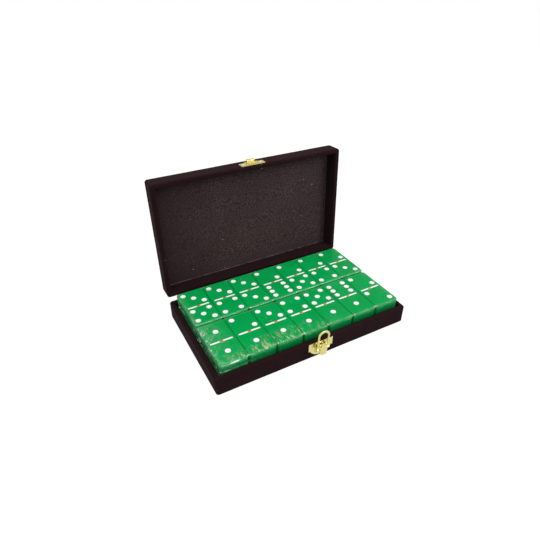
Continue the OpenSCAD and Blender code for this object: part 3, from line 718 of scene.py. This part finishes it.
class DOMINOBOX_OT_cloth(bpy.types.Operator):
    """Cover the base and the lid with velvet"""

    bl_idname = "dominobox.cloth"
    bl_label = "Cover with Velvet"

    def execute(self, context):
        settings = context.scene.box_cloth
        velvet = velvet_material(settings)
        base = cloth_mesh("base_cloth", BASE_LOW, BASE_HIGH, FLOOR_Z, TURN_IN, settings, whole=False)
        clean(base)
        ripple(base, settings.wave, settings.wave_span, 3.0, meets=Vector((0, 0, 1)))
        new_piece("base_cloth", base, "base", [velvet], ["base_covering"])
        lining_z = LID_HIGH.z - PANEL_LOW.z
        start = (LID_HIGH.y - LID_LOW.y) / 2
        lid = cloth_mesh("lid_cloth", LID_LOW, LID_HIGH, lining_z, start, settings, whole=True)
        lid.transform(TO_OPEN_LID @ Matrix.Translation((0, 0, LID_HIGH.z)) @ Matrix.Scale(-1, 4, (0, 0, 1)))
        clean(lid)
        ripple(lid, settings.wave, settings.wave_span, 11.0, meets=TO_OPEN_LID.to_3x3() @ Vector((0, 0, -1)))
        new_piece("lid_cloth", lid, "lid", [velvet], ["lid_covering"])
        return {"FINISHED"}


def card_mesh(name, low, high, bow):
    """A thin card with a softened edge, slightly bowed; its first material is the flock, its second the cut edge."""
    soft = 0.12 * MM
    half_w, half_d, thick = (high.x - low.x) / 2, (high.y - low.y) / 2, high.z - low.z
    profile = [(half_d, thick)]
    profile += [(inset * MM, thick) for inset in (48, 42, 36, 30, 24, 18, 12, 7, 3, 1)]
    profile += [(soft, thick), (0, thick - soft), (0, soft), (soft, 0), (1 * MM, 0), (half_d, 0)]

    def corner_of(inset):
        return max(0.6 * MM - inset, 0.1 * MM)

    mesh = loft(name, half_w, half_d, profile, corner_of, CARD_STEPS, round_again=False)
    clean(mesh, sharp_angle=40)
    for vertex in mesh.vertices:
        x, y = vertex.co.x / half_w, vertex.co.y / half_d
        lift = bow * (1 - x * x) * (1 - y * y) * (0.6 + 0.4 * noise.noise(vertex.co * 30))
        if vertex.co.z > thick / 2:
            vertex.co.z += lift
    fray = [max(0.0, 1 - (half_d - v.co.y) / MM) if v.co.z > thick / 2 else 0.0 for v in mesh.vertices]
    mesh.attributes.new("fray", "FLOAT", "POINT").data.foreach_set("value", fray)
    for face in mesh.polygons:
        face.material_index = 1 if abs(face.normal.z) < 0.5 else 0
    mesh.transform(Matrix.Translation(((low.x + high.x) / 2, (low.y + high.y) / 2, 0)))
    return mesh


class DOMINOBOX_OT_cards(bpy.types.Operator):
    """Line the lid, the floor and the underside with flocked card"""

    bl_idname = "dominobox.cards"
    bl_label = "Line with Card"

    def execute(self, context):
        settings = context.scene.box_card
        flock, edge = card_material(settings), card_edge_material(settings)
        low, high = shut_box("lid_card")
        lid = card_mesh("lid_lining", low, high, settings.bow)
        lid.transform(TO_OPEN_LID @ Matrix.Translation((0, 0, high.z)) @ Matrix.Scale(-1, 4, (0, 0, 1)))
        lid.flip_normals()
        new_piece("lid_lining", lid, "lid", [flock, edge], ["lid_card"])
        for name, node, slot in (
            ("floor_lining", "base_floor_card", "floor_card"),
            ("underside_lining", "base_underside_sheet", "velvet"),
        ):
            low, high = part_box(node)
            card = card_mesh(name, low, high, 0.0)
            card.transform(Matrix.Translation((0, 0, low.z)))
            new_piece(name, card, "base", [flock, edge], [node])
        return {"FINISHED"}


class DOMINOBOX_OT_boards(bpy.types.Operator):
    """Finish the thin boards under the cloth"""

    bl_idname = "dominobox.boards"
    bl_label = "Finish Boards"

    def execute(self, context):
        finish_nodes("board", board_material())
        return {"FINISHED"}


class DOMINOBOX_OT_dominoes(bpy.types.Operator):
    """Colour the dominoes and paint their pips and lines"""

    bl_idname = "dominobox.dominoes"
    bl_label = "Finish Dominoes"

    def execute(self, context):
        settings = context.scene.box_dominoes
        finish_nodes("domino", domino_material(settings))
        finish_nodes("pip_paint", paint_material(settings))
        return {"FINISHED"}


def pack_tiles(side):
    """The nodes of a pack's dominoes."""
    return [n for n in frame["record"]["behaviour"]["bodies"][f"{side}_pack"] if n.startswith("domino")]


def joints_between(tiles, axis):
    """Middles of the gaps between rows of dominoes along an axis."""
    spans = sorted({(round(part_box(t)[0][axis], 5), round(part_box(t)[1][axis], 5)) for t in tiles})
    return [(a[1] + b[0]) / 2 for a, b in zip(spans, spans[1:])]


def film_lines(low, high, edge, joints, wide_step):
    """Places of the film's mesh lines along one axis: close together at the edges and at the joints."""
    bend = [edge * f for f in EDGE_SHARES] + EDGE_LINES
    marks = {low + d for d in bend} | {high - d for d in bend}
    marks |= {j + s * d for j in joints for d in JOINT_LINES for s in (-1, 1)}
    marks = sorted(m for m in marks if low <= m <= high)
    lines = []
    for a, b in zip(marks, marks[1:]):
        if b - a > 1e-6:
            count = max(1, round((b - a) / wide_step))
            lines += [a + (b - a) * i / count for i in range(count)]
    return [*lines, marks[-1]]


def box_skin(lines):
    """Points and faces of the surface of a box that is cut at the given lines along X, Y and Z."""
    index, points, faces = {}, [], []

    def point(cell):
        if cell not in index:
            index[cell] = len(points)
            points.append(Vector(lines[a][cell[a]] for a in range(3)))
        return index[cell]

    for axis in range(3):
        u, v = (axis + 1) % 3, (axis + 2) % 3
        for end, i, j in product((0, len(lines[axis]) - 1), range(len(lines[u]) - 1), range(len(lines[v]) - 1)):
            quad = []
            for di, dj in ((0, 0), (1, 0), (1, 1), (0, 1)):
                cell = [0, 0, 0]
                cell[axis], cell[u], cell[v] = end, i + di, j + dj
                quad.append(point(tuple(cell)))
            faces.append(quad if end else quad[::-1])
    return points, faces


def rounded_skin(p, low, high, corner, edge):
    """A point of the box's surface moved onto the same box with rounded corners and edges, and its normal there."""
    x, y = (p[a] - min(max(p[a], low[a] + corner), high[a] - corner) for a in (0, 1))
    reach = max(abs(x), abs(y))
    side = Vector((x, y, 0)).normalized()
    inset = corner - reach
    middle = (low.z + high.z) / 2
    up = math.copysign(1.0, p.z - middle)
    drop = (high.z - low.z) / 2 - abs(p.z - middle)
    u, w = max(0.0, edge - inset), max(0.0, edge - drop)
    far = math.hypot(u, w)
    if far > 0:
        u, w = u * edge / far, w * edge / far
    if inset < edge:
        inset = edge - u
    if drop < edge:
        drop = edge - w
    out = (side * u + Vector((0, 0, up * w))).normalized() if far > 0 else Vector((0, 0, up))
    core = Vector((p.x - x, p.y - y, middle + up * ((high.z - low.z) / 2 - drop)))
    return core + side * (corner - inset), out


def groove(distance, radius):
    """Depth of the groove between two rounded edges that meet, at a distance from their joint."""
    d = min(abs(distance), radius)
    return radius - math.sqrt(radius * radius - (radius - d) ** 2)


def ridged(point, scale, seed):
    """Sharp crests, 0 to 1, of a noise stretched by scale."""
    p = Vector((point.x * scale[0], point.y * scale[1], point.z * scale[2])) + Vector((seed, seed, seed))
    return max(0.0, 1 - 5 * abs(noise.noise(p) + 0.3 * noise.noise(p * 2.3)))


def bump_at(value, centre, width):
    """1 at the centre, falling to near 0 at twice the width from it."""
    return math.exp(-(((value - centre) / width) ** 2))


def spread_value(value, low, high):
    """The value's place between low and high, kept in 0 to 1."""
    return min(1.0, max(0.0, (value - low) / (high - low)))


def film_state(p, out, low, high, side):
    """How slack the film is at a point, and the stretch mask where the golden painted warm reflections go, each 0 to
    1.
    """
    from_left, from_front = (p.x - low.x) / MM, (p.y - low.y) / MM
    along = (p.x - low.x) / (high.x - low.x)
    slack = 0.85 * bump_at(from_left, 0.0, 3.5) + 0.25 * bump_at(along, 1.0, 0.03)
    if side == "front":
        slack += 0.75 * bump_at(from_left, 7.0, 9.0) * bump_at(from_front, 36.0, 16.0)
        slack += 0.12 * bump_at(from_left, 12.0, 10.0) * bump_at(from_front, 0.0, 9.0)
    # Painted warm reflections go on the front halves of the front pack's dominoes.
    stretch = bump_at(from_front, 2.0, 11.0) * (bump_at(along, 0.30, 0.24) if side == "front" else 0.0)
    return min(1.0, slack), min(1.0, stretch) * max(0.0, out.z)


def film_gleam(p, low, high, side):
    """How bright the painted highlights along the tight edges of the film are at a point, 0 to 1."""
    from_left, below_top = (p.x - low.x) / MM, (high.z - p.z) / MM
    from_front, from_back = (p.y - low.y) / MM, (high.y - p.y) / MM
    gleam = 0.65 * bump_at(below_top, 0.0, 1.0) * bump_at(from_front if side == "back" else from_back, 0.0, 1.0)
    if side == "front":
        on_front = bump_at(from_front, 0.0, 0.9)
        for strength, drop, width, middle, reach in PAINTED_FRONT_HIGHLIGHTS:
            gleam += strength * on_front * bump_at(below_top, drop, width) * bump_at(from_left, middle, reach)
    uneven = max(0.0, 0.6 + 0.9 * noise.noise(Vector((p.x * 190, p.y * 190, p.z * 420))))
    on_end = bump_at(from_left, 0.0, 0.9)
    upright = 1.3 * bump_at(from_front, 0.0, 1.3) + 0.9 * bump_at(from_back, 0.0, 1.3)
    foot_line = 1.5 * bump_at(below_top, 8.0, 1.0) * spread_value(noise.noise(p * 330), 0.0, 0.35)
    return min(1.0, gleam * uneven + on_end * (upright * uneven + foot_line))


def film_painted_notch_shade(p, across, high):
    """How much painted shade darkens the film in the notch between two corners at the back, 0 to 1."""
    behind = bump_at(p.y, high.y, 1.6 * MM) * bump_at(p.z, high.z - 2 * MM, 4 * MM)
    return spread_value(bump_at(across, 0, 1.8 * MM) * behind, 0.15, 0.5)


def knot(centre, size, seed):
    """Points and faces of a small crumpled lump of film."""
    work = bmesh.new()
    bmesh.ops.create_icosphere(work, subdivisions=3, radius=size)
    for vertex in work.verts:
        p = vertex.co * (1.2 / size)
        crumple = 0.75 * ridged(p, (1.0, 1.0, 1.0), seed) + 0.3 * noise.noise(p * 2.0 + Vector((seed, 0, 0)))
        vertex.co = centre + vertex.co * (0.45 + crumple)
    points = [v.co.copy() for v in work.verts]
    faces = [[v.index for v in f.verts] for f in work.faces]
    work.free()
    return points, faces


def film_mesh(side, settings):
    """The film of one pack: pulled over the dominoes, dipping into their joints and crumpled at its corners."""
    low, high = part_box(f"{side}_pack_film")
    tiles = pack_tiles(side)
    low, high = low.copy(), high.copy()
    low.z = min(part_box(t)[0].z for t in tiles) - settings.clearance
    seams = [joints_between(tiles, 0), [], joints_between(tiles, 2)]
    lines = [
        film_lines(low[a], high[a], settings.edge, seams[a], step)
        for a, step in enumerate(FILM_STEPS)
    ]
    points, faces = box_skin(lines)
    baked = {name: [] for name in FILM_VALUES}
    for i, p in enumerate(points):
        p, out = rounded_skin(p, low, high, settings.corner, settings.edge)
        across = min((abs(p.x - s) for s in seams[0]), default=1.0)
        between = min((abs(p.z - s) for s in seams[2]), default=1.0)
        top = settings.top_dip * groove(across, settings.edge)
        dip = top + (settings.side_dip * groove(across, settings.corner) - top) * (1 - abs(out.z))
        dip *= 1 - abs(out.x)
        dip = max(dip, settings.side_dip * groove(between, settings.edge) * (1 - abs(out.z)))
        slack, stretch = film_state(p, out, low, high, side)
        folds = ridged(p, (300, 120, 240), 5.0) * slack
        on_edge = bump_at(p.z, high.z, 2.2 * MM) * bump_at(p.y, low.y, 2.0 * MM)
        on_foot = 0.8 * bump_at(p.z, low.z, 1.5 * MM) * bump_at(p.y, low.y, 1.5 * MM)
        puckers = ridged(p, (620, 620, 520), 9.0) * bump_at(across, 0, 2.2 * MM) * min(1.0, on_edge + on_foot)
        rise = settings.crease * min(1.0, folds + 2.0 * puckers)
        points[i] = p + out * (rise - dip - settings.crease)
        baked["crease"].append(min(1.0, 0.7 * folds + 2.0 * puckers))
        # The band along the front top edge adds a painted highlight to the slack; the rest of the slack is loose
        # film.
        baked["slack"].append(min(1.0, slack * (1 - 0.5 * abs(out.x)) + 0.45 * on_edge))
        baked["stretch"].append(stretch)
        baked["gleam"].append(film_gleam(p, low, high, side))
        baked["painted_notch_shade"].append(film_painted_notch_shade(p, across, high))
    left, front, back, foot, top = low.x + 0.3 * MM, low.y, high.y, low.z, high.z
    places = [(left, front + 0.6 * MM, foot + 1.5 * MM), (left, back - 9 * MM, top - 9 * MM)]
    if side == "front":
        places.append((left, back - 1.5 * MM, top - 14 * MM))
    for seed, centre in enumerate(places):
        more, skin = knot(Vector(centre), settings.knot, 3.0 + 5 * seed)
        faces += [[len(points) + v for v in face] for face in skin]
        points += more
        for name, values in baked.items():
            values += [KNOT_VALUES.get(name, 0.0)] * len(more)
    mesh = mesh_from(f"{side}_film", points, faces)
    for name, values in baked.items():
        mesh.attributes.new(name, "FLOAT", "POINT").data.foreach_set("value", values)
    mesh.shade_smooth()
    return mesh


class DOMINOBOX_OT_film(bpy.types.Operator):
    """Wrap each pack of dominoes in creased clear film"""

    bl_idname = "dominobox.film"
    bl_label = "Wrap Packs"

    def execute(self, context):
        settings = context.scene.box_film
        film = film_material(settings)
        for side in ("front", "back"):
            mesh = film_mesh(side, settings)
            new_piece(f"{side}_wrap", mesh, f"{side}_pack", [film], [f"{side}_pack_film"])
        return {"FINISHED"}


class DOMINOBOX_OT_brass(bpy.types.Operator):
    """Finish the hinges, the clasp, the nails and the spinners in brass"""

    bl_idname = "dominobox.brass"
    bl_label = "Finish Brass"

    def execute(self, context):
        settings = context.scene.box_brass
        finish_nodes("brass", brass_material(settings))
        # The catch plate gets a darker copy of the brass, a painted shade.
        finish_piece("catch_plate", brass_material(settings, "shaded_brass", settings.catch_painted_shade))
        finish_nodes("spinner", spinner_material(settings))
        return {"FINISHED"}


# ---------- stage ----------


def add_lamp(name, place_at, aim, size, power):
    """A square area lamp that faces the aim."""
    light = bpy.data.lights.new(name, "AREA")
    light.size, light.energy = size, power
    lamp = bpy.data.objects.new(name, light)
    lamp.location = place_at
    lamp.rotation_mode = "QUATERNION"
    lamp.rotation_quaternion = (Vector(aim) - Vector(place_at)).to_track_quat("-Z", "Y")
    bpy.context.scene.collection.objects.link(lamp)


def seen_directly(tree):
    """1 for rays that show the background: from the camera, mirrored or let through."""
    path = add_node(tree, "ShaderNodeLightPath")
    seen = math_node(tree, "MAXIMUM", path.outputs["Is Camera Ray"], path.outputs["Is Glossy Ray"])
    return math_node(tree, "MAXIMUM", seen, path.outputs["Is Transmission Ray"])


def white_world(settings):
    """Even light from all round, white where it is seen."""
    world = bpy.data.worlds.new("studio")
    world.use_nodes = True
    tree = world.node_tree
    strength = spread(tree, seen_directly(tree), 0, 1, settings.sky, 1.0)
    background = tree.nodes["Background"]
    background.inputs["Color"].default_value = (1, 1, 1, 1)
    feed(tree, background, Strength=strength)
    bpy.context.scene.world = world


def floor_material(settings):
    """A pale floor that shows white and keeps a light shadow."""
    material = bpy.data.materials.new("floor")
    material.use_nodes = True
    tree = material.node_tree
    tree.nodes.clear()
    matt = add_node(tree, "ShaderNodeBsdfDiffuse", {"Color": (*settings.floor, 1)})
    glow = add_node(tree, "ShaderNodeEmission", {"Strength": 1.18})
    lift = times(tree, seen_directly(tree), 0.8)
    mix = add_node(tree, "ShaderNodeMixShader", {0: lift, 1: matt.outputs[0], 2: glow.outputs[0]})
    add_node(tree, "ShaderNodeOutputMaterial", {"Surface": mix.outputs[0]})
    return material


class DOMINOBOX_OT_stage(bpy.types.Operator):
    """Set up the floor, the lamps and the camera"""

    bl_idname = "dominobox.stage"
    bl_label = "Build Stage"

    def execute(self, context):
        settings = context.scene.box_stage
        corners = [(x * FLOOR_REACH, y * FLOOR_REACH, 0) for x, y in ((-1, -1), (1, -1), (1, 1), (-1, 1))]
        floor = mesh_from("floor", corners, [(0, 1, 2, 3)])
        floor.materials.append(floor_material(settings))
        ground = bpy.data.objects.new("floor", floor)
        ground.location.z = -FLOOR_DROP
        context.scene.collection.objects.link(ground)
        white_world(settings)
        middle = (0, 0, 0.03)
        add_lamp("key", (0.50, -0.80, 0.86), middle, size=0.5, power=settings.key)
        add_lamp("top", (-0.25, -0.1, 1.1), middle, size=0.8, power=settings.top)
        camera = bpy.data.objects.new("camera", bpy.data.cameras.new("camera"))
        camera.data.sensor_fit = "HORIZONTAL"
        camera.data.angle = settings.field_of_view
        camera.data.clip_start = 0.01
        camera.location = settings.camera
        camera.rotation_euler = (math.pi / 2 - settings.elevation, 0, -settings.azimuth)
        context.scene.collection.objects.link(camera)
        context.scene.camera = camera
        context.scene.view_settings.view_transform = "Standard"
        return {"FINISHED"}


# ---------- sidebar and running ----------

OPERATORS = (
    DOMINOBOX_OT_stage,
    DOMINOBOX_OT_cloth,
    DOMINOBOX_OT_cards,
    DOMINOBOX_OT_boards,
    DOMINOBOX_OT_dominoes,
    DOMINOBOX_OT_film,
    DOMINOBOX_OT_brass,
)

SETTINGS = {
    "box_cloth": ClothSettings,
    "box_card": CardSettings,
    "box_dominoes": DominoSettings,
    "box_film": FilmSettings,
    "box_brass": BrassSettings,
    "box_stage": StageSettings,
}


class DOMINOBOX_PT_sidebar(bpy.types.Panel):
    """Lists the operators and their settings"""

    bl_label = "Domino Box"
    bl_idname = "DOMINOBOX_PT_sidebar"
    bl_space_type = "VIEW_3D"
    bl_region_type = "UI"
    bl_category = "Domino Box"

    def draw(self, context):
        for operator in OPERATORS:
            self.layout.operator(operator.bl_idname)
        for key, group in SETTINGS.items():
            box = self.layout.box()
            box.label(text=group.__doc__)
            for name in group.__annotations__:
                box.prop(getattr(context.scene, key), name)


def register():
    for group in (*SETTINGS.values(), *OPERATORS, DOMINOBOX_PT_sidebar):
        bpy.utils.register_class(group)
    for key, group in SETTINGS.items():
        setattr(bpy.types.Scene, key, PointerProperty(type=group))


def unregister():
    for key in SETTINGS:
        delattr(bpy.types.Scene, key)
    for group in reversed((*SETTINGS.values(), *OPERATORS, DOMINOBOX_PT_sidebar)):
        bpy.utils.unregister_class(group)


def main():
    register()
    for operator in OPERATORS:
        area, name = operator.bl_idname.split(".")
        getattr(getattr(bpy.ops, area), name)()


if __name__ == "__main__":
    main()
